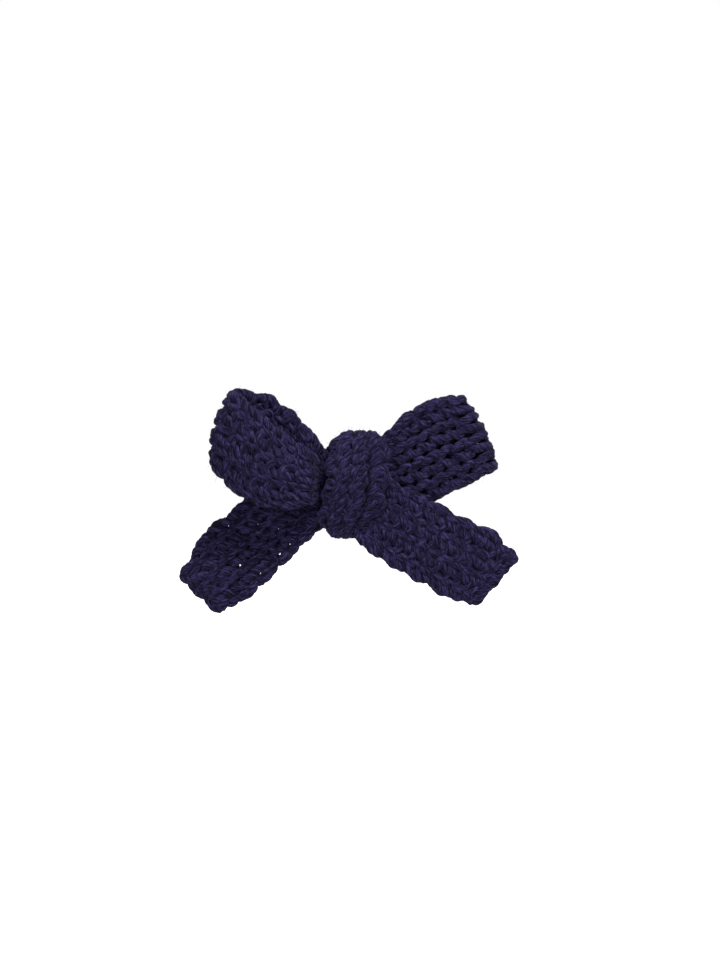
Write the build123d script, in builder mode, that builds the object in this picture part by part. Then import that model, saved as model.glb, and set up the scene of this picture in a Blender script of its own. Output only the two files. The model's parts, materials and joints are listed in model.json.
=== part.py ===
from build123d import *

import os
from math import atan2, cos, pi, radians, sin

# A hair bow: one rib-knit strip tied as a bow, sewn through a felt pad onto a sprung metal clip.
# The knit strip is cut into lengths where it flexes: two loops, two tails, and the knot.
#
# Millimetres. +X runs along the bow to the wearer's view right, +Z is up, and -Y is the front.
# The origin is on the inner face of the clip's flat jaw, straight behind the middle of the knot.

os.makedirs("parts", exist_ok=True)

# ---------------------------------------------------------------- driving dimensions

bow_span = 100.0  # left tail's corner to right tail's corner
strip_width = 0.22 * bow_span
strip_thickness = 3.6
soft_edge = 1.5  # rounds the tails' edges
root_thickness = 3.0  # where the knot squeezes the strip
corner_radius = 2.4
edge_radius = 0.45  # of a thickness: the strip's edges are nearly round

knot_width = 19.4
knot_height = 32.6
knot_front = 9.2  # in front of the strip's middle plane
knot_back = 8.8  # behind it
wrap_thickness = 3.2
wrap_edge = 0.6  # rounds the wrap's side edges
core_gap = 0.2
core_share = 0.88  # of the wrap's outline, seen from the front
flex_gap = 1.15  # from the knot's side to where a loop or tail begins

felt_thickness = 1.2
felt_edge = 0.35  # rounds the cut edges
strap_thickness = 0.9
lie_gap = 0.05  # between pieces that lie on one another

clip_height = 5.0  # the clip's middle above the knot's middle
jaw_gauge = 0.8
jaw_width = 8.0
jaw_tip_x = -30.0
jaw_tail_x = 20.0
pin_x = 6.0
pin_y = 3.5
pin_radius = 0.8
running_gap = 0.05
ear_gap = 0.2

# ---------------------------------------------------------------- places worked out from them

pad_back = -(jaw_gauge + lie_gap)
pad_front = pad_back - felt_thickness
knot_y = pad_front - lie_gap - knot_back
knot_z = -clip_height
wing_root = knot_width / 2 + flex_gap

# Local x is X, local y is Z, and offsets run forwards out of the bow.
front = Plane(origin=(0, knot_y, knot_z), x_dir=(1, 0, 0), z_dir=(0, -1, 0))


def bow_point(x, z, forward):
    """A point x along and z above the knot's middle, and so far in front of the middle plane."""
    return Vector(x, knot_y - forward, knot_z + z)


# ---------------------------------------------------------------- the two loops


def loop_sections(loop):
    """Section planes and sizes of a loop's band, out along its front layer and home along its back one.

    Each section is (plane, width, thickness); the plane's x runs across the strip, and its z along it.
    """
    root_x, root_z = loop["root"]
    fold_x, fold_z = loop["fold"]
    heading = atan2(fold_z - root_z, fold_x - root_x)
    along = Vector(cos(heading), 0, sin(heading))
    side = 1 if fold_x > root_x else -1
    up = Vector(-sin(heading), 0, cos(heading)) * side
    run = ((fold_x - root_x) ** 2 + (fold_z - root_z) ** 2) ** 0.5 - loop["fold_radius"]

    def centre(q, layer):
        """The band's middle at q of the run, on the front (1) or the back (-1) layer."""
        spread = loop["fold_radius"] + (loop["root_gap"] - loop["fold_radius"]) * (1 - q) ** 2
        forward = loop["back"]
        if layer > 0:
            forward += 2 * spread + loop["bulge"] * sin(pi * q) ** 2
        bow = loop["sag"] if layer > 0 else loop["lift"]
        shift = bow * sin(pi * q) - layer * loop["root_step"] * (1 - q)
        return bow_point(root_x, root_z, forward) + along * run * q + up * shift

    def section(point, heading_vector, q):
        ease = 1 - (1 - q) ** 2.2
        lean = radians(loop["lean"]) * ease
        across = Vector(side * -sin(lean), 0, cos(lean))
        width = loop["root_width"] + (loop["fold_width"] - loop["root_width"]) * ease
        thickness = root_thickness + (strip_thickness - root_thickness) * ease
        normal = heading_vector.cross(across).normalized()
        return Plane(point, x_dir=across, z_dir=across.cross(normal)), width, thickness

    shares = (0.0, 0.12, 0.3, 0.5, 0.7, 0.88, 1.0)
    step = 0.01
    sections = []
    for q in shares:
        heading_vector = centre(min(q + step, 1), 1) - centre(max(q - step, 0), 1)
        sections.append(section(centre(q, 1), heading_vector, q))
    hub = bow_point(root_x, root_z, loop["back"] + loop["fold_radius"]) + along * run
    for turn in (45, 90, 135):
        outward = along * sin(radians(turn)) - Vector(0, 1, 0) * cos(radians(turn))
        heading_vector = along * cos(radians(turn)) + Vector(0, 1, 0) * sin(radians(turn))
        sections.append(section(hub + outward * loop["fold_radius"], heading_vector, 1))
    for q in reversed(shares):
        heading_vector = centre(max(q - step, 0), -1) - centre(min(q + step, 1), -1)
        sections.append(section(centre(q, -1), heading_vector, q))
    return sections


# root and fold are (x, z) about the knot's middle; back is how far forward the back layer lies.
left_loop_shape = {
    "root": (-wing_root, 3.5),
    "fold": (-38.2, 18.8),
    "root_width": 13.0,
    "fold_width": 1.18 * strip_width,
    "lean": 25.0,
    "back": 0.6,
    "root_gap": 1.75,
    "fold_radius": 4.6,
    "bulge": 1.2,
    "sag": -4.8,
    "lift": 6.0,
    "root_step": 1.4,
}
right_loop_shape = {
    "root": (wing_root, 6.6),
    "fold": (39.2, 17.6),
    "root_width": 0.96 * strip_width,
    "fold_width": 1.2 * strip_width,
    "lean": 23.0,
    "back": -4.4,
    "root_gap": 1.65,
    "fold_radius": 2.2,
    "bulge": 0.3,
    "sag": 1.4,
    "lift": 1.2,
    "root_step": 0.0,
}

with BuildPart() as left_loop:
    for plane, width, thickness in loop_sections(left_loop_shape):
        with BuildSketch(plane):
            RectangleRounded(width, thickness, edge_radius * thickness)
    loft()
    with BuildSketch(front):
        with BuildLine():
            Spline(
                (-8.0, 12.0),
                (-20.0, 23.2),
                (-33.5, 29.4),
                (-39.8, 22.0),
                (-41.2, 7.0),
                (-33.6, -2.0),
                (-17.0, -6.8),
                (-8.0, -2.0),
            )
            Line((-8.0, -2.0), (-8.0, 12.0))
        make_face()
    extrude(amount=knot_height, both=True, mode=Mode.INTERSECT)

with BuildPart() as right_loop:
    for plane, width, thickness in loop_sections(right_loop_shape):
        with BuildSketch(plane):
            RectangleRounded(width, thickness, edge_radius * thickness)
    loft()

# ---------------------------------------------------------------- the two tails

tail_middle = {"left": -3.4, "right": 3.3}  # in front of the strip's middle plane, at the root
tail_lean = {"left": 2.5, "right": 3.0}  # degrees forwards of straight out from the knot

left_tail_outline = (
    (-wing_root, 4.8),
    (-25.0, 4.4),
    (-46.6, -13.8),
    (-52.4, -26.0),
    (-51.0, -29.4),
    (-39.8, -36.6),
    (-34.6, -34.8),
    (-14.0, -16.0),
    (-wing_root, -11.2),
)
right_tail_outline = (
    (wing_root + 0.4, 4.8),
    (24.6, -3.4),
    (42.8, -12.2),
    (48.6, -20.6),
    (38.8, -34.2),
    (30.0, -32.2),
    (5.2, -17.6),
)

left_tail_plane = front.offset(tail_middle["left"] - strip_thickness / 2)
left_hinge = Axis(bow_point(-wing_root, 0, tail_middle["left"]), (0, 0, 1))
right_tail_plane = front.offset(tail_middle["right"] - strip_thickness / 2)
right_hinge = Axis(bow_point(wing_root, 0, tail_middle["right"]), (0, 0, 1))

with BuildPart() as left_tail:
    with BuildSketch(left_tail_plane) as left_tail_profile:
        Polygon(*left_tail_outline, align=None)
        fillet(left_tail_profile.vertices(), corner_radius)
    extrude(amount=strip_thickness)
    fillet(left_tail.faces().sort_by(Axis.Y)[0].edges(), soft_edge)
    fillet(left_tail.faces().sort_by(Axis.Y)[-1].edges(), soft_edge)

with BuildPart() as right_tail:
    with BuildSketch(right_tail_plane) as right_tail_profile:
        Polygon(*right_tail_outline, align=None)
        fillet(right_tail_profile.vertices(), corner_radius)
    extrude(amount=strip_thickness)
    fillet(right_tail.faces().sort_by(Axis.Y)[0].edges(), soft_edge)
    fillet(right_tail.faces().sort_by(Axis.Y)[-1].edges(), soft_edge)

left_tail.part = left_tail.part.rotate(left_hinge, tail_lean["left"])
right_tail.part = right_tail.part.rotate(right_hinge, -tail_lean["right"])

# ---------------------------------------------------------------- the knot

knot_outline = (
    (-9.6, 11.4),
    (-6.0, 15.8),
    (0.5, 17.8),
    (7.6, 16.8),
    (9.7, 11.0),
    (9.7, 1.0),
    (7.6, -8.0),
    (3.2, -14.6),
    (-2.2, -15.6),
    (-7.0, -12.8),
    (-9.5, -8.0),
    (-9.4, 3.0),
)
from_left = Plane(origin=(0, knot_y, knot_z), x_dir=(0, -1, 0), z_dir=(-1, 0, 0))
knot_depth = knot_front + knot_back
knot_middle = (knot_front - knot_back) / 2
knot_rise = 0.9
knot_crown = 0.6  # the side view is an ellipse that runs past the outline's top and bottom
side_height = knot_height / 2 + knot_crown
core_depth = knot_depth - 2 * (wrap_thickness + core_gap)
core_height = knot_height - 2 * (wrap_thickness + core_gap)

with BuildPart() as knot_wrap:
    with BuildSketch(front):
        with BuildLine():
            Spline(*knot_outline, periodic=True)
        make_face()
    extrude(amount=knot_height, both=True)
    with BuildSketch(from_left):
        with Locations((knot_middle, knot_rise)):
            Ellipse(knot_depth / 2, side_height)
            Ellipse(knot_depth / 2 - wrap_thickness, side_height - wrap_thickness, mode=Mode.SUBTRACT)
    extrude(amount=knot_width, both=True, mode=Mode.INTERSECT)
    fillet(knot_wrap.edges().filter_by(lambda e: abs(e.center().X) > knot_width / 4), wrap_edge)

with BuildPart() as knot_core:
    with BuildSketch(front):
        with BuildLine():
            Spline(*knot_outline, periodic=True)
        make_face()
        scale(by=core_share)
    extrude(amount=knot_height, both=True)
    with BuildSketch(from_left):
        with Locations((knot_middle, knot_rise)):
            Ellipse(core_depth / 2, core_height / 2 + knot_crown)
    extrude(amount=knot_width, both=True, mode=Mode.INTERSECT)

# ---------------------------------------------------------------- felt pad, felt strap and thread

# Behind the bow, local x is X, local y is Z, and offsets run backwards, towards the hair.
back = Plane(origin=(0, 0, 0), x_dir=(-1, 0, 0), z_dir=(0, 1, 0))

pad_length = 26.0
pad_width = 14.0
pad_corner = 6.0
strap_x = -5.0
strap_length = 8.0
strap_clearance = 0.3  # beside the flat jaw
strap_edge = pad_width / 2 - 0.4  # where the strap's feet end, just inside the pad's edge

with BuildPart() as felt_pad:
    with BuildSketch(back.offset(pad_front)):
        RectangleRounded(pad_length, pad_width, pad_corner)
    extrude(amount=felt_thickness)
    fillet(felt_pad.edges().filter_by(Plane.XZ), felt_edge)

# The strap's profile, seen along the bow: two feet on the pad and a bridge over the flat jaw.
strap_inner = jaw_width / 2 + strap_clearance
foot_under = pad_back + lie_gap
bridge_under = lie_gap
bridge_over = bridge_under + strap_thickness
strap_profile = [
    (strap_edge, foot_under),
    (strap_edge, foot_under + strap_thickness),
    (strap_inner + strap_thickness, foot_under + strap_thickness),
    (strap_inner + strap_thickness, bridge_over),
    (-strap_inner - strap_thickness, bridge_over),
    (-strap_inner - strap_thickness, foot_under + strap_thickness),
    (-strap_edge, foot_under + strap_thickness),
    (-strap_edge, foot_under),
    (-strap_inner, foot_under),
    (-strap_inner, bridge_under),
    (strap_inner, bridge_under),
    (strap_inner, foot_under),
]
strap_plane = Plane(origin=(strap_x, 0, 0), x_dir=(0, 0, 1), z_dir=(-1, 0, 0))

with BuildPart() as felt_strap:
    with BuildSketch(strap_plane):
        Polygon(*strap_profile, align=None)
    extrude(amount=strap_length / 2, both=True)
    fillet(felt_strap.edges().filter_by(Axis.X).group_by(Axis.Y)[-1], felt_edge)

stitch_length = 2.1
stitch_pitch = 3.3
thread_radius = 0.28
pad_stitch_z = pad_width / 2 - 1.1
thread_end = 0.85  # of the thread's radius: each stitch dives into the felt with a round end
pad_stitches = 7
strap_stitch_pitch = 2.7

with BuildPart() as tack_stitches:
    stitch_places = []
    for column in range(pad_stitches):
        x = (column - (pad_stitches - 1) / 2) * stitch_pitch
        if abs(x - strap_x) > (strap_length + stitch_length) / 2 + lie_gap:
            stitch_places += [(x, pad_back, pad_stitch_z), (x, pad_back, -pad_stitch_z)]
    for column in (-1, 0, 1):
        x = strap_x + column * strap_stitch_pitch
        foot_back = foot_under + strap_thickness
        stitch_places += [(x, foot_back, pad_stitch_z), (x, foot_back, -pad_stitch_z)]
    for x, y, z in stitch_places:
        centre_y = y + lie_gap / 2 + thread_radius
        stitch_plane = Plane(origin=(x - stitch_length / 2, centre_y, z), z_dir=(1, 0, 0))
        with BuildSketch(stitch_plane):
            Circle(thread_radius)
        extrude(amount=stitch_length)
    fillet(tack_stitches.edges(), thread_end * thread_radius)

# ---------------------------------------------------------------- the clip

# Seen from above, along the hinge pin: local x is X and local y is Y.
clip_side = Plane(origin=(0, 0, 0), x_dir=(1, 0, 0), z_dir=(0, 0, 1))
outer_ear_radius = 2.0
inner_ear_radius = 1.9
flat_tip_radius = 2.6
ear_foot = 1.5  # how far an ear spreads on each side where it meets the jaw

with BuildPart() as clip_flat_jaw:
    with BuildSketch(back.offset(-jaw_gauge)) as flat_jaw_profile:
        with Locations((-(jaw_tip_x + jaw_tail_x) / 2, 0)):
            Rectangle(jaw_tail_x - jaw_tip_x, jaw_width)
        fillet(flat_jaw_profile.vertices(), flat_tip_radius)
    extrude(amount=jaw_gauge)
    for ear_z in (jaw_width / 2 - jaw_gauge, -jaw_width / 2):
        with BuildSketch(clip_side.offset(ear_z)):
            with Locations((pin_x, pin_y)):
                Circle(outer_ear_radius)
            with BuildLine():
                Polyline(
                    (pin_x - outer_ear_radius, pin_y),
                    (pin_x - outer_ear_radius - ear_foot, -jaw_gauge / 2),
                    (pin_x + outer_ear_radius + ear_foot, -jaw_gauge / 2),
                    (pin_x + outer_ear_radius, pin_y),
                    close=True,
                )
            make_face()
        extrude(amount=jaw_gauge)
    with Locations(Plane(origin=(pin_x, pin_y, jaw_width / 2), z_dir=(0, 0, 1))):
        Hole(pin_radius, depth=jaw_width)

inner_half = jaw_width / 2 - jaw_gauge - ear_gap
tooth_count = 9
tooth_pitch = 1.7
tooth_depth = 0.9
tooth_tip_y = 0.12
first_tooth = 0.5  # behind the jaw's tip
teeth_slope = 1.6  # from the last tooth to the raised edge that clears the hair
toothed_tip_x = jaw_tip_x + 0.6
back_tip_y = 2.6
back_bend = (1.0, 6.5)  # where the toothed jaw's back turns into its lever
lever_start = (9.5, 6.9)
lever_end = (20.4, 8.9)
hair_gap_y = 2.3
hair_gap_rise = 0.6
lever_corner = 1.4

tooth_line = []
for tooth in range(tooth_count):
    tooth_x = toothed_tip_x + first_tooth + tooth * tooth_pitch
    tooth_line += [(tooth_x, tooth_tip_y), (tooth_x + tooth_pitch / 2, tooth_tip_y + tooth_depth)]
teeth_end_x = toothed_tip_x + first_tooth + tooth_count * tooth_pitch
wall_profile = [
    (toothed_tip_x, tooth_tip_y + tooth_depth),
    *tooth_line,
    (teeth_end_x, tooth_tip_y),
    (teeth_end_x + teeth_slope, hair_gap_y),
    (pin_x - inner_ear_radius, hair_gap_y),
    (pin_x + inner_ear_radius, hair_gap_y + hair_gap_rise),
    lever_start,
    back_bend,
    (toothed_tip_x, back_tip_y),
]


def inwards(start, end, amount):
    """Two points moved square to their line, towards the flat jaw."""
    heading = atan2(end[1] - start[1], end[0] - start[0])
    shift = (amount * sin(heading), -amount * cos(heading))
    return [(x + shift[0], y + shift[1]) for x, y in (start, end)]


back_inner = inwards((toothed_tip_x, back_tip_y), back_bend, jaw_gauge)
lever_inner = inwards(lever_start, lever_end, jaw_gauge)
plate_profile = [
    (toothed_tip_x, back_tip_y),
    back_bend,
    lever_start,
    lever_end,
    lever_inner[1],
    lever_inner[0],
    back_inner[1],
    back_inner[0],
]

with BuildPart() as clip_toothed_jaw:
    with BuildSketch(clip_side.offset(-inner_half)):
        Polygon(*plate_profile, align=None)
    extrude(amount=2 * inner_half)
    for wall_z in (inner_half - jaw_gauge, -inner_half):
        with BuildSketch(clip_side.offset(wall_z)):
            Polygon(*wall_profile, align=None)
            with Locations((pin_x, pin_y)):
                Circle(inner_ear_radius)
        extrude(amount=jaw_gauge)
    with Locations(Plane(origin=(pin_x, pin_y, inner_half), z_dir=(0, 0, 1))):
        Hole(pin_radius + running_gap, depth=2 * inner_half)
    lever_face = clip_toothed_jaw.faces().sort_by(Axis.X)[-1]
    fillet(lever_face.edges().sort_by(SortBy.LENGTH)[:2], lever_corner)

pin_head_radius = 1.3
pin_head_height = 0.5
pin_head_edge = 0.3

with BuildPart() as hinge_pin:
    with BuildSketch(clip_side.offset(-jaw_width / 2)):
        with Locations((pin_x, pin_y)):
            Circle(pin_radius)
    extrude(amount=jaw_width)
    for head_z in (jaw_width / 2, -jaw_width / 2 - pin_head_height):
        with BuildSketch(clip_side.offset(head_z)):
            with Locations((pin_x, pin_y)):
                Circle(pin_head_radius)
        extrude(amount=pin_head_height)
    fillet(hinge_pin.faces().filter_by(Axis.Z).sort_by(Axis.Z)[-1].edges(), pin_head_edge)
    fillet(hinge_pin.faces().filter_by(Axis.Z).sort_by(Axis.Z)[0].edges(), pin_head_edge)

wire_radius = 0.3
coil_radius = 1.35
coil_pitch = 0.78
leg_length = 8.0
flat_leg = -13.0  # degrees from +X, of the leg that presses on the flat jaw
lever_leg = 11.0  # and of the leg that presses on the lever
coil_start = flat_leg - 90
coil_turns = 4 - (90 - flat_leg + 90 + lever_leg) / 360
coil_length = coil_pitch * coil_turns


# The wire is drawn with its coil starting on the +X side, then turned about the pin until its legs
# lie as they should.
with BuildPart() as torsion_spring:
    with BuildLine() as wire_path:
        coil = Helix(
            coil_pitch,
            coil_length,
            coil_radius,
            center=(pin_x, pin_y, -coil_length / 2),
            lefthand=True,
        )
        Line(coil @ 0 - coil % 0 * leg_length, coil @ 0)
        Line(coil @ 1, coil @ 1 + coil % 1 * leg_length)
    wire = wire_path.wires()[0]
    with BuildSketch(Plane(origin=wire @ 0, z_dir=wire % 0)):
        Circle(wire_radius)
    sweep(path=wire)

pin_axis = Axis((pin_x, pin_y, 0), (0, 0, 1))
torsion_spring.part = torsion_spring.part.rotate(pin_axis, coil_start)

for piece, name in (
    (left_loop, "left_loop"),
    (right_loop, "right_loop"),
    (left_tail, "left_tail"),
    (right_tail, "right_tail"),
    (knot_wrap, "knot_wrap"),
    (knot_core, "knot_core"),
    (felt_pad, "felt_pad"),
    (felt_strap, "felt_strap"),
    (tack_stitches, "tack_stitches"),
    (clip_flat_jaw, "clip_flat_jaw"),
    (clip_toothed_jaw, "clip_toothed_jaw"),
    (hinge_pin, "hinge_pin"),
    (torsion_spring, "torsion_spring"),
):
    piece.part.label = name
    export_step(piece.part, f"parts/{name}.step")
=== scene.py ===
import json
from math import pi, radians, tau

import bpy
import numpy as np
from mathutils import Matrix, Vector


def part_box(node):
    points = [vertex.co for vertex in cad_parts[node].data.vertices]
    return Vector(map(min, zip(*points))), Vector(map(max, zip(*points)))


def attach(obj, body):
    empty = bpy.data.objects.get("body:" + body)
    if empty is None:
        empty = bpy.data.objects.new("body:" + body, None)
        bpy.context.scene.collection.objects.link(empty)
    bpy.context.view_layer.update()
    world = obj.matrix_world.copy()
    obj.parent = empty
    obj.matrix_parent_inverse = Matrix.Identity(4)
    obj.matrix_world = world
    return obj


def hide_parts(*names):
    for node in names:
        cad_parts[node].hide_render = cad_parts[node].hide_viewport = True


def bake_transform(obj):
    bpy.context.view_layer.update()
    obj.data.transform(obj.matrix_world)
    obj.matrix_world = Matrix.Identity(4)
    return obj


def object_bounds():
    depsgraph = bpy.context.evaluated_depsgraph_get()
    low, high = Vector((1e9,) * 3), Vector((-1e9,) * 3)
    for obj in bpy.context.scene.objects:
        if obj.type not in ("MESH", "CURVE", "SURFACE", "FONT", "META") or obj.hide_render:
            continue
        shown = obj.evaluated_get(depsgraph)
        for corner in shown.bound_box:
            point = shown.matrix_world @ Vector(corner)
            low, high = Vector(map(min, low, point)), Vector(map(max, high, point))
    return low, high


# A knitted hair bow on a sprung clip. The wool is real yarn geometry: each length of the strip is
# one plied yarn, worked back and forth in rib over a bent surface.
#
# Work happens in millimetres about the knot's middle: x right, y back, z up. A piece is turned into
# metres in the CAD frame when its mesh is made.

MM = 0.001
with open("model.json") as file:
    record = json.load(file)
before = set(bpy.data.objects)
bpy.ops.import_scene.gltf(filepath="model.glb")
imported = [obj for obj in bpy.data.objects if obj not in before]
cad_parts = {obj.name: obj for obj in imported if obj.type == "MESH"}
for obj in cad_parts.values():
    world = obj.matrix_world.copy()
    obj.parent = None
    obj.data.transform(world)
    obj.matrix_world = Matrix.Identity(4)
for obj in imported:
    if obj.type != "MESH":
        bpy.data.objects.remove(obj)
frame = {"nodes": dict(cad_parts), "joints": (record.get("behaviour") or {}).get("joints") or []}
cad_low, cad_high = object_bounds()
random = np.random.default_rng(20)

# ---------------------------------------------------------------- places taken from the frame

wrap_low, wrap_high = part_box("knot_wrap")
pad_low, pad_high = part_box("felt_pad")
strap_low, strap_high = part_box("felt_strap")
flat_low, flat_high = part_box("clip_flat_jaw")
thread_low, thread_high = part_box("tack_stitches")

# The knot's middle is on the strip's middle plane, just below the middle of the wrap round the knot.
knot_depth = (wrap_high.y - wrap_low.y) / MM
knot_height = (wrap_high.z - wrap_low.z) / MM
knot_forward = 0.2  # how far the wrap's middle is in front of the strip's middle plane
knot_rise = 1.0  # and how far above the knot's middle
knot = Vector((
    0,
    (wrap_low.y + wrap_high.y) / 2 + knot_forward * MM,
    (wrap_low.z + wrap_high.z) / 2 - knot_rise * MM,
))
joint_places = {joint["child"]: joint["pos_m"] for joint in frame["joints"]}


def in_bow(point):
    """A place in the CAD frame, in millimetres about the knot's middle."""
    return np.array((Vector(point) - knot) / MM)


# ---------------------------------------------------------------- meshes


def make_piece(name, parts, material):
    """One object from (points, quads, triangles, strand) parts, in millimetres about the knot's middle."""
    points, faces, strand = [], [], []
    count = 0
    for part_points, quads, triangles, part_strand in parts:
        points.append(part_points)
        faces += (quads + count).tolist() + (triangles + count).tolist()
        strand.append(part_strand)
        count += len(part_points)
    points = np.concatenate(points) * MM + np.array(knot)
    mesh = bpy.data.meshes.new(name)
    mesh.from_pydata(points.tolist(), [], faces)
    attribute = mesh.attributes.new("strand", "FLOAT_VECTOR", "POINT")
    attribute.data.foreach_set("vector", np.concatenate(strand).astype(np.float32).ravel())
    mesh.polygons.foreach_set("use_smooth", [True] * len(mesh.polygons))
    mesh.materials.append(material)
    mesh.validate()
    mesh.update()
    piece = bpy.data.objects.new(name, mesh)
    bpy.context.scene.collection.objects.link(piece)
    return piece


def unit(vectors):
    return vectors / np.linalg.norm(vectors, axis=-1, keepdims=True)


def distance_along(points):
    """How far along a line of points each one lies."""
    steps = np.linalg.norm(np.diff(points, axis=0), axis=1)
    return np.concatenate([[0.0], np.cumsum(steps)])


def carried_frames(points):
    """Tangents and two square directions, carried along a line without twisting."""
    any_way = (0.3, 0.5, 0.8)  # only the first side direction depends on it
    tangent = unit(np.gradient(points, axis=0))
    side = np.empty_like(points)
    guide = np.cross(tangent[0], any_way)
    for i, direction in enumerate(tangent):
        guide = guide - direction * guide.dot(direction)
        guide = guide / np.linalg.norm(guide)
        side[i] = guide
    return tangent, side, np.cross(tangent, side)


def ring_directions(angles, side, other):
    """The directions at the angles round each line, from two square directions across it."""
    across = np.cos(angles)[None, :, None] * side[:, None, :]
    return across + np.sin(angles)[None, :, None] * other[:, None, :]


def skin_faces(rows, sides):
    """Faces of a closed skin made of rings, followed by its first and last middle points."""
    here = np.arange(rows * sides).reshape(rows, sides)
    nearby = np.roll(here, -1, axis=1)
    quads = np.stack([here[:-1], nearby[:-1], nearby[1:], here[1:]], axis=-1).reshape(-1, 4)
    first, last = np.full(sides, rows * sides), np.full(sides, rows * sides + 1)
    start_cap = np.stack([first, nearby[0], here[0]], axis=-1)
    end_cap = np.stack([last, here[-1], nearby[-1]], axis=-1)
    return quads, np.concatenate([start_cap, end_cap])


def ply_outline(angle, plies, ply_share):
    """How far out a bundle of round plies reaches at an angle, as a share of its full radius."""
    middle = 1 - ply_share  # how far out each ply's own middle lies
    off = np.mod(angle + pi / plies, tau / plies) - pi / plies
    return middle * np.cos(off) + np.sqrt(ply_share**2 - (middle * np.sin(off)) ** 2)


def tube(points, radius, plies=3, ply_turn=8.5, ply_share=0.62, sides=21):
    """A plied yarn along a line of points, closed at both ends.

    A ply goes once round the yarn in ply_turn mm, and ply_share is its radius as a share of the yarn's.
    strand holds a place in the yarn's own twisted space, which the wool's fibres follow.
    """
    tangent, side, other = carried_frames(points)
    along = distance_along(points)
    radius = np.broadcast_to(radius, along.shape)
    ring = np.arange(sides) * tau / sides
    twisted = ring[None, :] - along[:, None] * tau / ply_turn
    out = radius[:, None] * ply_outline(twisted, plies, ply_share)
    skin = points[:, None, :] + out[:, :, None] * ring_directions(ring, side, other)
    strand = np.stack([
        radius[:, None] * np.cos(twisted),
        radius[:, None] * np.sin(twisted),
        np.broadcast_to(along[:, None], twisted.shape),
    ], axis=-1)
    ends = np.stack([points[0] - tangent[0] * radius[0] / 2, points[-1] + tangent[-1] * radius[-1] / 2])
    end_strand = np.array([[0, 0, along[0]], [0, 0, along[-1]]])
    quads, triangles = skin_faces(len(points), sides)
    all_points = np.concatenate([skin.reshape(-1, 3), ends])
    all_strand = np.concatenate([strand.reshape(-1, 3), end_strand])
    return all_points, quads, triangles, all_strand


# ---------------------------------------------------------------- bent surfaces that the strip follows


EDGE_MARGIN = 0.4  # how far the outermost loops' middles lie inside a band's edges


def curve_through(knots, values, at):
    """A smooth curve through values at the knots, each bend shaped by its two neighbours."""
    gaps = np.diff(knots)
    slopes = np.diff(values, axis=0) / gaps[:, None]
    bends = np.empty_like(values)
    bends[0], bends[-1] = slopes[0], slopes[-1]
    weight = (gaps[:-1] / (gaps[:-1] + gaps[1:]))[:, None]
    bends[1:-1] = slopes[:-1] * (1 - weight) + slopes[1:] * weight
    i = np.clip(np.searchsorted(knots, at, side="right") - 1, 0, len(gaps) - 1)
    gap = gaps[i][:, None]
    t = (at - knots[i])[:, None] / gap
    return (
        values[i] * (1 + 2 * t) * (1 - t) ** 2
        + bends[i] * gap * t * (1 - t) ** 2
        + values[i + 1] * t**2 * (3 - 2 * t)
        + bends[i + 1] * gap * t**2 * (t - 1)
    )


def band_surface(stations):
    """A strip's surface through stations, each (top x, top z, bottom x, bottom z, forward, crown).

    The crown is how far the strip's middle stands out of the line from edge to edge.
    Returns (surface, length); surface(u, v) takes u along in mm and v across from -1 to 1.
    """
    table = np.array(stations, float)
    middle_x = (table[:, 0] + table[:, 2]) / 2
    middle_z = (table[:, 1] + table[:, 3]) / 2
    knots = distance_along(np.stack([middle_x, -table[:, 4], middle_z], axis=-1))

    def ruled(u, v):
        row = curve_through(knots, table, u)
        top = np.stack([row[:, 0], -row[:, 4], row[:, 1]], axis=-1)
        bottom = np.stack([row[:, 2], -row[:, 4], row[:, 3]], axis=-1)
        across = top - bottom
        half = np.linalg.norm(across, axis=-1) / 2
        inner = v * (half - EDGE_MARGIN) / half
        return bottom + across * (inner[:, None] + 1) / 2, row[:, 5]

    def surface(u, v):
        point, crown = ruled(u, v)
        normal = face_normal(lambda a, b: ruled(a, b)[0], u, v)
        return point + normal * (crown * (1 - v**2))[:, None]

    return surface, knots[-1]


def face_normal(surface, u, v):
    """The direction out of a surface's face. The face looks forwards where the strip starts."""
    step = 0.05
    along = surface(u + step, v) - surface(u - step, v)
    across = surface(u, v + step) - surface(u, v - step)
    normal = unit(np.cross(along, across))
    start = surface(np.array([step, 0.0]), np.array([0.0, 0.0]))
    up = surface(np.array([step]), np.array([step])) - start[:1]
    facing = np.cross(start[0] - start[1], up[0])[1]
    return normal if facing < 0 else -normal


# ---------------------------------------------------------------- knitting

ROW_PITCH = 4.3
SLACK_PITCH = 3.9  # in the tails, which nothing pulls on
YARN = 1.5  # radius
SAMPLES = 24  # points along one stitch
HAIR = 0.04  # radius of a loose fibre at its root
# relief and depth in mm; slant and spread are shares of a column's width, and widen a loop's head;
# rib is a knit column's width as a share of a purl column's.
RIBBED = {"relief": 1.4, "depth": 0.5, "slant": 0.3, "spread": 0.12, "rib": 2.4}
SLACK_RIB = {"relief": 1.15, "depth": 0.5, "slant": 0.31, "spread": 0.14, "rib": 1.75}
FLAT = {"relief": 0.15, "depth": 0.6, "slant": 0.29, "spread": 0.1, "rib": 1.15}
GATHERED = {"relief": 0.35, "depth": 0.5, "slant": 0.32, "spread": 0.1, "rib": 1.2}
PURL_SLANT = 0.95  # a purl column's slant, as a share of a knit column's
LOOP_REACH = 0.69  # from a loop's middle to its head or its feet, as a share of a row's pitch
LOOP_SWELL = 2.2  # how quickly a loop steps out to its own face of the strip
TURN_SAMPLES = 8  # points where the yarn turns back at an edge
TURN_BULGE = 0.04  # how far a turn reaches past the edge, as a share of the strip's half width
TURN_LIFT = 0.3  # how far a turn sways from face to face, in mm
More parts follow.
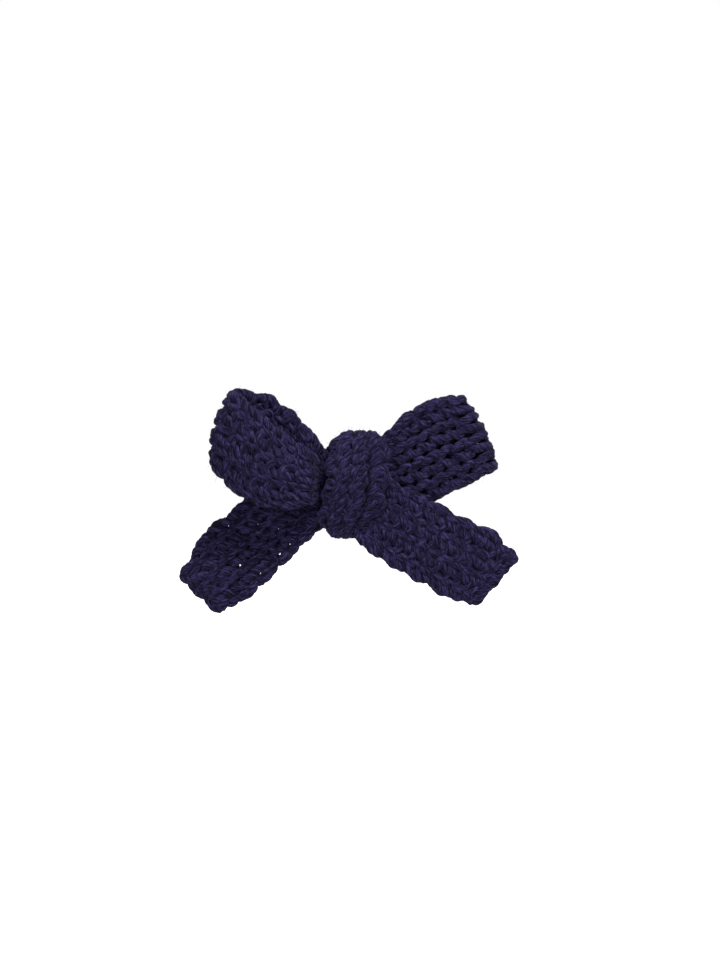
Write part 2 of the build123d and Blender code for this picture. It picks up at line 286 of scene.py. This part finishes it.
# How uneven the knitting is: the largest random change of one stitch.
HEAD_CHANGE = 0.12  # of a loop's reach, as a share
SWING_CHANGE = 0.1  # of its slant and spread, as a share
ACROSS_CHANGE = 0.06  # of its place across, as a share of its column's width
ALONG_CHANGE = 0.04  # of its place along, as a share of a row's pitch


def random_about(middle, change):
    return random.uniform(middle - change, middle + change)


def knit_line(surface, length, columns, style, row_pitch=ROW_PITCH):
    """The line of one yarn worked back and forth in rib over a surface.

    Each stitch is a loop whose head reaches into the row above and whose feet reach into the one
    below. Knit columns stand out of the face by the relief, and purl columns out of the back.
    """
    rows = max(1, round(length / row_pitch))
    pitch = length / rows
    kinds = [1 if column % 2 == 0 else -1 for column in range(columns)]
    widths = np.array([style["rib"] if kind > 0 else 1.0 for kind in kinds])
    widths *= 2 / widths.sum()
    middles = np.cumsum(widths) - widths / 2 - 1
    reach = LOOP_REACH * pitch
    loop_time = (np.arange(SAMPLES) + 0.5) / SAMPLES * tau - pi
    us, vs, hs = [], [], []
    for row in range(rows):
        order = range(columns) if row % 2 == 0 else range(columns - 1, -1, -1)
        travel = 1 if row % 2 == 0 else -1
        for column in order:
            t = loop_time * travel
            head = reach * random_about(1, HEAD_CHANGE)
            swell = np.tanh(LOOP_SWELL * np.cos(t / 2)) / np.tanh(LOOP_SWELL)
            width = widths[column]
            middle = middles[column] + width * random_about(0, ACROSS_CHANGE)
            slant = style["slant"] * (1 if kinds[column] > 0 else PURL_SLANT)
            swing = slant * np.sin(2 * t) + style["spread"] * np.sin(t)
            vs.append(middle + width * (t / tau + swing * random_about(1, SWING_CHANGE)))
            us.append(pitch * (row + 0.5) + head * np.cos(t) + pitch * random_about(0, ALONG_CHANGE))
            hs.append(kinds[column] * swell * (style["relief"] - style["depth"] * np.cos(2 * t)))
        if row < rows - 1:
            turn = (np.arange(TURN_SAMPLES) + 1) / (TURN_SAMPLES + 1)
            vs.append(travel * (1 + TURN_BULGE * np.sin(pi * turn)))
            us.append(pitch * (row + 0.5) - reach + pitch * turn)
            hs.append(TURN_LIFT * np.sin(tau * turn))
    u, v, h = np.concatenate(us), np.concatenate(vs), np.concatenate(hs)
    # Round off the corners where one stitch hands over to the next.
    for _ in range(2):
        for line in (u, v, h):
            line[1:-1] = (line[:-2] + 2 * line[1:-1] + line[2:]) / 4
    return surface(u, v) + face_normal(surface, u, v) * h[:, None]


def uneven(count, amount, spread=40):
    """Slow random swelling and thinning along a yarn."""
    stops = random.uniform(-amount, amount, count // spread + 3)
    return 1 + np.interp(np.arange(count) / spread, np.arange(len(stops)), stops)


def yarn(line):
    """A plied wool yarn along a line, with two loose fibres to every three points."""
    radii = YARN * uneven(len(line), 0.08)
    return [tube(line, radii), fuzz(line, radii, len(line) * 2 // 3)]


def fuzz(line, radii, count):
    """Loose fibres: short curved hairs, each a closed three-sided tube that starts inside the yarn."""
    rings, sides = 5, 3
    shortest, longest = 0.7, 2.3
    taper = 0.7  # how much thinner a hair's tip is than its root, as a share
    rooted = 0.8  # how far out in the yarn a hair starts, as a share of its radius
    root = random.integers(2, len(line) - 2, count)
    along = unit(np.gradient(line, axis=0))[root]
    out = random.normal(size=(count, 3))
    out = unit(out - along * np.sum(out * along, axis=-1, keepdims=True))
    leaning = out * 0.7 + along * random.uniform(-1, 1, (count, 1))
    heading = unit(leaning + random.normal(0, 0.3, (count, 3)))
    bend = random.normal(0, 0.45, (count, 3)) - out * 0.3
    hair_length = random.uniform(shortest, longest, (count, 1, 1))
    share = np.linspace(0, 1, rings)[None, :, None]
    start = (line[root] + out * radii[root, None] * rooted)[:, None, :]
    middle = start + hair_length * (heading[:, None, :] * share + bend[:, None, :] * share**2 / 2)
    side = unit(np.cross(heading, random.normal(size=(count, 3))))
    angle = np.arange(sides) * tau / sides
    around = ring_directions(angle, side, np.cross(heading, side))
    thickness = HAIR * (1 - taper * share[..., None])
    skin = middle[:, :, None, :] + around[:, None, :, :] * thickness
    here = np.arange(count * rings * sides).reshape(count, rings, sides)
    nearby = np.roll(here, -1, axis=2)
    quads = np.stack([here[:, :-1], nearby[:, :-1], nearby[:, 1:], here[:, 1:]], axis=-1).reshape(-1, 4)
    triangles = np.concatenate([here[:, 0, ::-1], here[:, -1]])
    points = skin.reshape(-1, 3)
    return points, quads, triangles, points


def edge_chain(surface, length):
    """The bind-off: a chain of loops laid along the strip's end."""
    chain_half = 1.35  # half the chain's width
    chain_gap = 0.4  # from the last row's end to the chain's middle
    chain_pitch = 3.3
    chain_reach = 1.02  # how far out the chain goes, as a share of the strip's half width
    style = {"relief": 0.35, "depth": 0.5, "slant": 0.3, "spread": 0.05, "rib": 1.0}
    ends = surface(np.array([length, length]), np.array([-1.0, 1.0]))
    span = np.linalg.norm(ends[1] - ends[0])

    def chain_surface(u, v):
        return surface(length + chain_gap + chain_half * v, (u / span) * (2 * chain_reach) - chain_reach)

    return knit_line(chain_surface, span, 1, style, chain_pitch)


# ---------------------------------------------------------------- materials


def new_material(name):
    material = bpy.data.materials.new(name)
    material.use_nodes = True
    nodes = material.node_tree.nodes
    return material, nodes, material.node_tree.links, nodes["Principled BSDF"]


def add_noise(nodes, links, coordinates, scale, detail, stretch=(1, 1, 1)):
    """Noise over some coordinates; a small stretch value draws it out in that direction."""
    mapping = nodes.new("ShaderNodeMapping")
    mapping.inputs["Scale"].default_value = [scale * s for s in stretch]
    links.new(coordinates, mapping.inputs["Vector"])
    noise = nodes.new("ShaderNodeTexNoise")
    noise.inputs["Scale"].default_value = 1.0
    noise.inputs["Detail"].default_value = detail
    links.new(mapping.outputs["Vector"], noise.inputs["Vector"])
    return noise.outputs["Fac"]


def add_ramp(nodes, links, value, stops):
    """Colours for a value, from (place, colour) stops."""
    ramp = nodes.new("ShaderNodeValToRGB")
    elements = ramp.color_ramp.elements
    while len(elements) < len(stops):
        elements.new(0.5)
    for element, (place, colour) in zip(elements, stops):
        element.position = place
        element.color = (*colour, 1)
    links.new(value, ramp.inputs["Fac"])
    return ramp.outputs["Color"]


def shade(colour, amount):
    return tuple(channel * amount for channel in colour)


def add_math(nodes, links, operation, *values):
    """One step of arithmetic on up to three values, each a number or another node's output."""
    result = nodes.new("ShaderNodeMath")
    result.operation = operation
    for value, entry in zip(values, result.inputs):
        if isinstance(value, bpy.types.NodeSocket):
            links.new(value, entry)
        else:
            entry.default_value = value
    return result.outputs[0]


def add_bump(nodes, links, height, shader, strength, distance_mm):
    bump = nodes.new("ShaderNodeBump")
    bump.inputs["Strength"].default_value = strength
    bump.inputs["Distance"].default_value = distance_mm * MM
    links.new(height, bump.inputs["Height"])
    links.new(bump.outputs["Normal"], shader.inputs["Normal"])


def wool_material(name, colour, light, sheen):
    """Matt plied wool: fibres run along the twist, with slow changes of tone from dyeing."""
    material, nodes, links, shader = new_material(name)
    strand = nodes.new("ShaderNodeAttribute")
    strand.attribute_name = "strand"
    place = strand.outputs["Vector"]
    fibres = add_noise(nodes, links, place, scale=4.5, detail=4.0, stretch=(1, 1, 0.16))
    tufts = add_noise(nodes, links, place, scale=1.3, detail=2.0, stretch=(1, 1, 0.5))
    tone = add_math(nodes, links, "MULTIPLY_ADD", tufts, 0.5, fibres)
    stops = ((0.64, shade(colour, 0.18)), (0.76, colour), (0.90, light))
    links.new(add_ramp(nodes, links, tone, stops), shader.inputs["Base Color"])
    shader.inputs["Roughness"].default_value = 0.9
    shader.inputs["Specular IOR Level"].default_value = 0.12
    shader.inputs["Sheen Weight"].default_value = sheen
    shader.inputs["Sheen Roughness"].default_value = 0.45
    shader.inputs["Sheen Tint"].default_value = (0.42, 0.38, 0.62, 1)
    add_bump(nodes, links, fibres, shader, strength=1.0, distance_mm=0.3)
    return material


def felt_material(colour):
    """Pressed felt: tangled short fibres, with pale flecks and rubbed patches."""
    material, nodes, links, shader = new_material("felt")
    place = nodes.new("ShaderNodeTexCoord").outputs["Object"]
    upright = add_noise(nodes, links, place, scale=1500, detail=5.0, stretch=(1, 1, 0.4))
    level = add_noise(nodes, links, place, scale=1300, detail=5.0, stretch=(0.35, 1, 1))
    patches = add_noise(nodes, links, place, scale=260, detail=2.0)
    flecks = add_math(nodes, links, "MAXIMUM", upright, level)
    tone = add_math(nodes, links, "MULTIPLY_ADD", patches, 0.3, flecks)
    stops = ((0.60, shade(colour, 0.4)), (0.72, colour), (0.90, shade(colour, 3.0)))
    links.new(add_ramp(nodes, links, tone, stops), shader.inputs["Base Color"])
    shader.inputs["Roughness"].default_value = 0.95
    shader.inputs["Specular IOR Level"].default_value = 0.15
    shader.inputs["Sheen Weight"].default_value = 0.12
    shader.inputs["Sheen Roughness"].default_value = 0.5
    add_bump(nodes, links, flecks, shader, strength=1.0, distance_mm=0.3)
    return material


def metal_material(name, colour, grain, roughness):
    """Plated or drawn steel: fine lines along the metal, with handling marks that dull it."""
    material, nodes, links, shader = new_material(name)
    place = nodes.new("ShaderNodeTexCoord").outputs["Object"]
    lines = add_noise(nodes, links, place, scale=5200, detail=3.0, stretch=(grain, 1, 1))
    marks = add_noise(nodes, links, place, scale=300, detail=4.0, stretch=(0.3, 1, 1))
    tones = ((0.3, shade(colour, 0.93)), (0.7, colour))
    links.new(add_ramp(nodes, links, marks, tones), shader.inputs["Base Color"])
    polish = ((0.3, (roughness,) * 3), (0.8, (roughness + 0.1,) * 3))
    links.new(add_ramp(nodes, links, marks, polish), shader.inputs["Roughness"])
    shader.inputs["Metallic"].default_value = 1.0
    add_bump(nodes, links, lines, shader, strength=0.15, distance_mm=0.02)
    return material


navy_wool = wool_material("navy_wool", (0.0122, 0.0084, 0.039), light=(0.055, 0.045, 0.142), sheen=0.10)
navy_thread = wool_material("navy_thread", (0.018, 0.016, 0.040), light=(0.050, 0.046, 0.100), sheen=0.12)
navy_felt = felt_material((0.0105, 0.0090, 0.024))
plated_steel = metal_material("plated_steel", (0.66, 0.65, 0.64), grain=0.06, roughness=0.24)
spring_steel = metal_material("spring_steel", (0.52, 0.52, 0.53), grain=0.5, roughness=0.28)

# ---------------------------------------------------------------- the two loops and the two tails

COLUMNS = 7  # knit 1, purl 1, starting and ending with a knit

# Stations from a wing's root outwards: top x, top z, bottom x, bottom z, forward, crown. A loop's
# stations come back to the knot behind the ones that leave it.
left_loop_stations = (
    (-7.6, 5.6, -7.6, -2.0, -0.4, 0.0),
    (-11.4, 8.2, -11.4, -3.4, 0.3, 0.0),
    (-13.9, 10.4, -13.9, -4.6, 5.4, 0.9),
    (-17.8, 12.9, -17.4, -5.1, 6.6, 1.2),
    (-25.2, 18.6, -27.0, -4.4, 8.8, 1.5),
    (-31.2, 24.2, -34.5, -0.4, 9.0, 1.4),
    (-34.2, 26.6, -39.2, 3.9, 7.6, 1.8),
    (-35.1, 27.3, -40.8, 7.0, 4.8, 2.0),
    (-33.0, 27.8, -38.0, 7.4, 2.0, 1.4),
    (-26.8, 26.8, -33.2, 5.9, 0.9, 0.5),
    (-20.0, 22.7, -25.0, 2.2, 0.7, 0.3),
    (-14.2, 16.9, -16.8, -1.0, -0.1, 0.2),
    (-8.0, 9.2, -8.0, -3.0, -0.6, 0.0),
)
right_loop_stations = (
    (8.2, 12.8, 8.4, -5.8, -1.0, 0.2),
    (14.2, 19.7, 18.2, -5.0, -0.3, 0.5),
    (21.0, 23.9, 28.0, -0.7, 0.1, 0.7),
    (26.8, 25.6, 35.2, 2.6, 0.0, 0.7),
    (29.7, 25.8, 39.3, 4.8, -0.5, 1.0),
    (30.7, 25.5, 40.5, 5.5, -2.2, 1.4),
    (29.7, 25.5, 39.3, 5.1, -3.9, 0.9),
    (26.8, 25.6, 35.2, 2.8, -4.4, 0.4),
    (21.0, 23.8, 28.0, -0.6, -4.5, 0.3),
    (14.2, 18.9, 18.2, -4.4, -4.5, 0.2),
    (8.2, 12.0, 8.4, -5.4, -4.4, 0.0),
)
left_tail_stations = (
    (-8.4, 3.6, -8.4, -9.7, -3.3, 0.0),
    (-26.8, -0.5, -14.2, -14.9, -2.9, 0.4),
    (-35.4, -7.6, -23.4, -24.1, -2.4, 0.6),
    (-44.2, -14.9, -32.8, -32.7, -2.0, 0.6),
    (-49.7, -25.0, -39.2, -35.5, -1.7, 0.3),
)
right_tail_stations = (
    (8.6, 2.6, 2.4, -16.6, 3.2, 0.0),
    (23.4, -5.2, 12.9, -23.4, 4.1, 0.5),
    (33.0, -10.4, 21.8, -28.4, 4.6, 0.6),
    (41.8, -14.7, 29.9, -32.6, 5.0, 0.5),
    (45.9, -19.6, 34.5, -33.0, 5.3, 0.3),
)


def flex_with(piece, body):
    """The piece keeps its place, and the CAD part for its body is hidden."""
    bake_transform(piece)
    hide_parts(body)


for body, stations, style, row_pitch, bound_off in (
    ("left_loop", left_loop_stations, FLAT, ROW_PITCH, False),
    ("right_loop", right_loop_stations, RIBBED, ROW_PITCH, False),
    ("left_tail", left_tail_stations, SLACK_RIB, SLACK_PITCH, True),
    ("right_tail", right_tail_stations, FLAT, SLACK_PITCH, True),
):
    surface, length = band_surface(stations)
    parts = yarn(knit_line(surface, length, COLUMNS, style, row_pitch))
    if bound_off:
        parts += yarn(edge_chain(surface, length))
    flex_with(make_piece(body + "_knit", parts, navy_wool), body)

# ---------------------------------------------------------------- the knot

# Limits of the wrap: angle up from straight ahead in degrees, left x, right x.
wrap_limits = np.array((
    (-180, -8.0, 8.0),
    (-130, -6.6, 4.8),
    (-90, -6.8, 2.0),
    (-60, -9.0, 4.6),
    (-30, -8.7, 7.6),
    (0, -7.1, 8.8),
    (30, -6.7, 9.2),
    (60, -6.0, 8.8),
    (90, -4.2, 7.7),
    (130, -6.8, 7.4),
    (180, -8.0, 8.0),
), float)
strip_half = 1.9  # half the knitted strip's thickness
height_margin = 0.5  # left free above the wrap and below it
sag = 0.25  # how far it hangs down
wrap_depth = knot_depth / 2 - strip_half
wrap_height = knot_height / 2 - strip_half - height_margin
wrap_rise = knot_rise - sag
around_angles = np.radians(np.linspace(-180, 180, 361))
around_points = np.stack([wrap_depth * np.cos(around_angles), wrap_height * np.sin(around_angles)], axis=-1)
around_table = distance_along(around_points)
wrap_length = around_table[-1]
# The band's edges roll in, and a crease runs down its front where it has bunched up.
EDGE_ROLL = 0.2  # as a share of the wrap's depth
ROLL_POWER = 3.2  # how closely the roll keeps to the edges
CREASE_DEPTH = 3.0
CREASE_PLACE = 0.46  # across the band, where its edges are at -1 and 1
CREASE_WIDTH = 0.18


def wrap_surface(u, v):
    """The band round the knot, with u going once round it from the back and up over the front."""
    angle = np.interp(np.mod(u, wrap_length), around_table, around_angles)
    limits = curve_through(wrap_limits[:, 0], wrap_limits[:, 1:], np.degrees(angle))
    x = limits[:, 0] + (limits[:, 1] - limits[:, 0]) * (v + 1) / 2
    roll = 1 - EDGE_ROLL * np.abs(v) ** ROLL_POWER
    half_roll = 1 - (1 - roll) * 0.5
    crease = CREASE_DEPTH * np.exp(-(((v - CREASE_PLACE) / CREASE_WIDTH) ** 2))
    forward = knot_forward + (wrap_depth * roll - crease) * np.cos(angle)
    rise = wrap_rise + wrap_height * half_roll * np.sin(angle)
    return np.stack([x, -forward, rise], axis=-1)


wrap_yarn = yarn(knit_line(wrap_surface, wrap_length, COLUMNS, GATHERED))
knot_piece = make_piece("knot_wrap_knit", wrap_yarn, navy_wool)
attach(knot_piece, "bow_base")
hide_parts("knot_wrap")


CORE_WIDTH = 0.7  # how wide a layer is in the knot's middle, as a share of its mean width
CORE_STITCHES = {**GATHERED, "relief": 0.3, "depth": 0.4}


def core_layer(left, right):
    """A gathered layer of the strip inside the knot, from one wing's root station to another's."""
    middle = [(a + b) / 2 for a, b in zip(left, right)]
    middle[1] *= CORE_WIDTH
    middle[3] *= CORE_WIDTH
    return band_surface((left, middle, right))


core_parts = []
for left, right in (
    (left_loop_stations[0], right_tail_stations[0]),
    (left_loop_stations[-1], right_loop_stations[0]),
    (left_tail_stations[0], right_loop_stations[-1]),
):
    surface, length = core_layer(left, right)
    core_parts += yarn(knit_line(surface, length, COLUMNS, CORE_STITCHES))
core_piece = make_piece("knot_core_knit", core_parts, navy_wool)
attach(core_piece, "bow_base")
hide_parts("knot_core")

# ---------------------------------------------------------------- felt pad, felt strap and thread


def ripple(points, wavelength, waves=7):
    """A smooth random height between about -1 and 1 at each point."""
    height = np.zeros(len(points))
    for _ in range(waves):
        direction = unit(random.normal(size=3))
        pace = tau / wavelength * random.uniform(0.6, 1.6)
        height += np.sin(points @ direction * pace + random.uniform(0, tau))
    return height / np.sqrt(waves)


def box_ring(half_x, half_z, count, squareness=3.6):
    """A rounded rectangle round the origin, as (x, z) rows."""
    angle = (np.arange(count) + 0.5) / count * tau
    x = np.sign(np.cos(angle)) * np.abs(np.cos(angle)) ** (2 / squareness)
    z = np.sign(np.sin(angle)) * np.abs(np.sin(angle)) ** (2 / squareness)
    return np.stack([half_x * x, half_z * z], axis=-1)


PAD_STITCH_PITCH = 3.3
STRAP_STITCH_PITCH = 2.7
STITCH_HALF = 1.05  # half a stitch's length
THREAD = 0.27  # radius
FELT_GAP = 0.05  # left between the strap and what it lies on, and from a stitch to its edge
PUCKER_DEPTH = 0.16  # how far a stitch pulls the felt in
PUCKER_REACH = 0.7  # how far from the stitch the felt is pulled in
pad_back_y = in_bow(pad_high)[1]
pad_middle = (in_bow(pad_low) + in_bow(pad_high)) / 2
pad_half = (in_bow(pad_high) - in_bow(pad_low)) / 2
strap_middle = (in_bow(strap_low) + in_bow(strap_high)) / 2
strap_half_x = (strap_high.x - strap_low.x) / 2 / MM
strap_back_y = in_bow(strap_high)[1]
strap_gauge = strap_high.y / MM - FELT_GAP  # the frame's y is 0 on the flat jaw, under the strap
foot_back_y = pad_back_y + FELT_GAP + strap_gauge
stitch_z = (thread_high.z - thread_low.z) / 2 / MM - THREAD  # above and below the clip's middle
clip_rise = -knot.z / MM  # the clip's middle, above the knot's

stitch_places = []
for column in range(-3, 4):
    x = column * PAD_STITCH_PITCH
    if abs(x - strap_middle[0]) > strap_half_x + STITCH_HALF + FELT_GAP:
        stitch_places += [(x, pad_back_y, clip_rise + side * stitch_z) for side in (1, -1)]
for column in (-1, 0, 1):
    x = strap_middle[0] + column * STRAP_STITCH_PITCH
    stitch_places += [(x, foot_back_y, clip_rise + side * stitch_z) for side in (1, -1)]


def pucker(points):
    """How deeply the felt is pulled in near the stitches, in mm."""
    straight_half = 0.8  # along a stitch, where the felt is pulled in the most
    depth = np.zeros(len(points))
    for x, _, z in stitch_places:
        past_end = np.maximum(np.abs(points[:, 0] - x) - straight_half, 0)
        distance = np.hypot(past_end, points[:, 2] - z)
        depth = np.maximum(depth, PUCKER_DEPTH * np.exp(-((distance / PUCKER_REACH) ** 2)))
    return depth


def felt_pad_part():
    """A felt plate: rings from the middle of its front, round its edge, to the middle of its back."""
    sides = 132
    flat_share, rim_share = 0.94, 0.06  # of the way out: the flat face, and the rounded rim
    cut_x, cut_z = 0.006, 0.010  # how uneven the cut edge is, as shares of the pad's half sizes
    lumps = 0.03  # how uneven the faces are, in mm
    outline = box_ring(pad_half[0], pad_half[2], sides)
    shares = np.concatenate([np.linspace(0.06, flat_share, 15), [0.965, 0.985, 0.997]])
    edge = np.sqrt(1 - np.clip((shares - flat_share) / rim_share, 0, 1) ** 2)
    shares = np.concatenate([shares, [1.0], shares[::-1]])
    heights = np.concatenate([-edge, [0.0], edge[::-1]]) * pad_half[1]
    rings = []
    for share, height in zip(shares, heights):
        x, z = outline.T * share
        rings.append(np.stack([x, np.full(sides, height), z], axis=-1))
    points = np.concatenate(rings + [[[0, -pad_half[1], 0]], [[0, pad_half[1], 0]]])
    rough = ripple(points, 3.0) * 0.5 + ripple(points, 1.1) * 0.5
    rim = np.hypot(points[:, 0] / pad_half[0], points[:, 2] / pad_half[2])
    points[:, 0] *= 1 + cut_x * rough * rim
    points[:, 2] *= 1 + cut_z * rough * rim
    points = points + pad_middle
    side = np.sign(points[:, 1] - pad_middle[1])
    points[:, 1] += lumps * rough - side * pucker(points)
    quads, triangles = skin_faces(len(shares), sides)
    return points, quads, triangles, points


def felt_strap_part():
    """A felt strap that runs over the flat jaw, with a foot on the pad at each end."""
    rows, sides = 61, 44
    soft_rows = 3  # at each cut end, over which the strap thins
    cut, lumps = 0.05, 0.025  # how uneven the cut edges and the faces are, in mm
    end_round = 0.93  # at 1, the cut ends would be rounded off to an edge
    end_width = 0.96  # and be this wide there, as a share of the strap's width
    half = strap_gauge / 2
    end_z = (strap_high.z - strap_low.z) / 2 / MM - 0.02
    jaw_z = (flat_high.z - flat_low.z) / 2 / MM
    foot_y = foot_back_y - half
    bridge_y = strap_back_y - half
    # From the jaw's middle outwards, the strap lies flat, bends down past the jaw's edge and ends as a foot.
    knots = np.array([0, jaw_z * 0.7, jaw_z + 0.25, jaw_z + 1.3, end_z])
    levels = np.array([[bridge_y], [bridge_y], [bridge_y - 0.12], [foot_y], [foot_y]])
    across = np.linspace(-end_z, end_z, rows)
    level = curve_through(knots, levels, np.abs(across))[:, 0]
    line = np.stack([np.full(rows, strap_middle[0]), level, clip_rise + across], axis=-1)
    tangent = unit(np.gradient(line, axis=0))
    normal = np.stack([np.zeros(rows), tangent[:, 2], -tangent[:, 1]], axis=-1)
    ring = box_ring(strap_half_x, half, sides, squareness=6.0)
    from_end = np.minimum(np.arange(rows), np.arange(rows)[::-1])
    soft = np.sqrt(1 - np.clip(1 - from_end / soft_rows, 0, end_round) ** 2)
    skin = line[:, None, :] + ring[None, :, 1, None] * normal[:, None, :] * soft[:, None, None]
    skin[:, :, 0] += ring[None, :, 0] * (end_width + (1 - end_width) * soft[:, None])
    points = np.concatenate([skin.reshape(-1, 3), line[:1], line[-1:]])
    rough = ripple(points, 2.6) * 0.5 + ripple(points, 1.0) * 0.5
    points[:, 0] += cut * rough
    points[:, 1] += lumps * rough
    behind = points[:, 1] > foot_back_y - half
    points[:, 1] -= np.where(behind, pucker(points), 0)
    quads, triangles = skin_faces(rows, sides)
    return points, quads, triangles, points


def stitch_part(place):
    """One stitch of twisted thread that dives into the felt at both ends."""
    dive = 2.6  # how deep its ends go, in thread radii
    share = np.linspace(-1, 1, 25)
    lean = random.uniform(-0.16, 0.16)
    lift = THREAD * (1.0 - dive * np.abs(share) ** 3.5)
    x = place[0] + share * STITCH_HALF * random.uniform(0.94, 1.04)
    z = place[2] + share * lean
    line = np.stack([x, place[1] + lift, z], axis=-1)
    return tube(line, THREAD, ply_turn=1.6, ply_share=0.55, sides=15)


for name, parts, material, slot, node in (
    ("felt_pad_soft", [felt_pad_part()], navy_felt, "felt", "felt_pad"),
    ("felt_strap_soft", [felt_strap_part()], navy_felt, "felt", "felt_strap"),
    ("tack_thread", [stitch_part(place) for place in stitch_places], navy_thread, "thread", "tack_stitches"),
):
    piece = make_piece(name, parts, material)
    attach(piece, "bow_base")
    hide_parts(node)

# ---------------------------------------------------------------- the spring

WIRE = 0.3  # radius
COIL = 1.35  # radius
COIL_PITCH = 0.78
COILS = 4  # turns, of which the legs' directions take off about half a turn
LEG_LENGTH = 8.0
FLAT_LEG = radians(-13)  # from +X, of the leg that presses on the flat jaw
LEVER_LEG = radians(11)  # and of the leg that presses on the lever


def spring_part():
    """A coil round the pin with a straight leg at each end, and the coil's length in mm.

    The wire winds left-handed, up from the flat jaw's leg to the lever's.
    """
    pin = in_bow(joint_places["toothed_jaw"])
    start = FLAT_LEG - pi / 2
    turn = -(COILS * tau - (pi + LEVER_LEG - FLAT_LEG))
    coil_length = COIL_PITCH * abs(turn) / tau
    share = np.linspace(0, 1, 260)
    angle = start + turn * share
    height = (share - 0.5) * coil_length
    coil = np.stack([COIL * np.cos(angle), COIL * np.sin(angle), height], axis=-1)
    out = np.linspace(0, LEG_LENGTH, 30)[1:, None]
    climb = COIL_PITCH / (tau * COIL)
    flat_way = unit(np.array((np.cos(FLAT_LEG), np.sin(FLAT_LEG), -climb)))
    lever_way = unit(np.array((np.cos(LEVER_LEG), np.sin(LEVER_LEG), climb)))
    line = np.concatenate([(coil[0] + out * flat_way)[::-1], coil, coil[-1] + out * lever_way])
    return tube(line + pin, WIRE, plies=1, ply_share=1.0, sides=20), coil_length


spring_tube, coil_length = spring_part()
spring = make_piece("spring_coil", [spring_tube], spring_steel)
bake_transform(spring)
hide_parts("torsion_spring")

# ---------------------------------------------------------------- the rest of the clip keeps its CAD shapes

for node in ("clip_flat_jaw", "clip_toothed_jaw", "hinge_pin"):
    piece = frame["nodes"][node]
    if not piece.data.materials:
        piece.data.materials.append(plated_steel)
    for material_slot in piece.material_slots:
        material_slot.material = plated_steel

# ---------------------------------------------------------------- floor, light and camera

floor_size = 12  # metres
floor_drop = 12 * MM  # from the bow's lowest point
bpy.ops.mesh.primitive_plane_add(size=floor_size, location=(0, 0, cad_low.z - floor_drop))
floor = bpy.context.object
floor.name = "floor"
floor_material, floor_nodes, floor_links, floor_shader = new_material("pale_floor")
floor_shader.inputs["Base Color"].default_value = (0.86, 0.86, 0.86, 1)
floor_shader.inputs["Roughness"].default_value = 0.9
floor_shader.inputs["Emission Color"].default_value = (1, 1, 1, 1)
floor.data.materials.append(floor_material)


def seen_by_camera(nodes, links, amount, otherwise):
    """A strength that is one amount to the camera and another as light on the object."""
    path = nodes.new("ShaderNodeLightPath")
    mix = nodes.new("ShaderNodeMix")
    mix.data_type = "FLOAT"
    links.new(path.outputs["Is Camera Ray"], mix.inputs["Factor"])
    mix.inputs["A"].default_value = otherwise
    mix.inputs["B"].default_value = amount
    return mix.outputs["Result"]


glow = seen_by_camera(floor_nodes, floor_links, 1.0, otherwise=0.0)
floor_links.new(glow, floor_shader.inputs["Emission Strength"])

bpy.context.scene.view_settings.view_transform = "Standard"
world = bpy.data.worlds.new("studio")
world.use_nodes = True
background = world.node_tree.nodes["Background"]
background.inputs["Color"].default_value = (1, 1, 1, 1)
sky = seen_by_camera(world.node_tree.nodes, world.node_tree.links, 1.0, otherwise=0.09)
world.node_tree.links.new(sky, background.inputs["Strength"])
bpy.context.scene.world = world


def soft_light(name, place, size, power):
    """A square softbox that looks at the knot."""
    light = bpy.data.lights.new(name, "AREA")
    light.size = size
    light.energy = power
    lamp = bpy.data.objects.new(name, light)
    lamp.location = knot + Vector(place)
    lamp.rotation_mode = "QUATERNION"
    lamp.rotation_quaternion = (-Vector(place)).to_track_quat("-Z", "Y")
    lamp.visible_camera = False
    bpy.context.scene.collection.objects.link(lamp)


soft_light("key", (0.25, -0.42, 0.8), size=0.26, power=9.4)
soft_light("fill", (-0.6, -0.5, 0.2), size=0.4, power=1.2)
soft_light("behind", (0.1, 0.7, 0.5), size=0.5, power=2.0)

lens = 85.0
sensor = 36.0
picture_height = 284 * MM  # what the picture shows from top to bottom, at the knot
camera_right = 1.8 * MM
camera_rise = 2.1 * MM  # above the knot's middle
camera_data = bpy.data.cameras.new("camera")
camera_data.lens = lens
camera_data.sensor_width = sensor
camera = bpy.data.objects.new("camera", camera_data)
camera_distance = picture_height * lens / sensor
camera.location = (camera_right, knot.y - camera_distance, knot.z + camera_rise)
camera.rotation_euler = (radians(90), 0, 0)
bpy.context.scene.collection.objects.link(camera)
bpy.context.scene.camera = camera
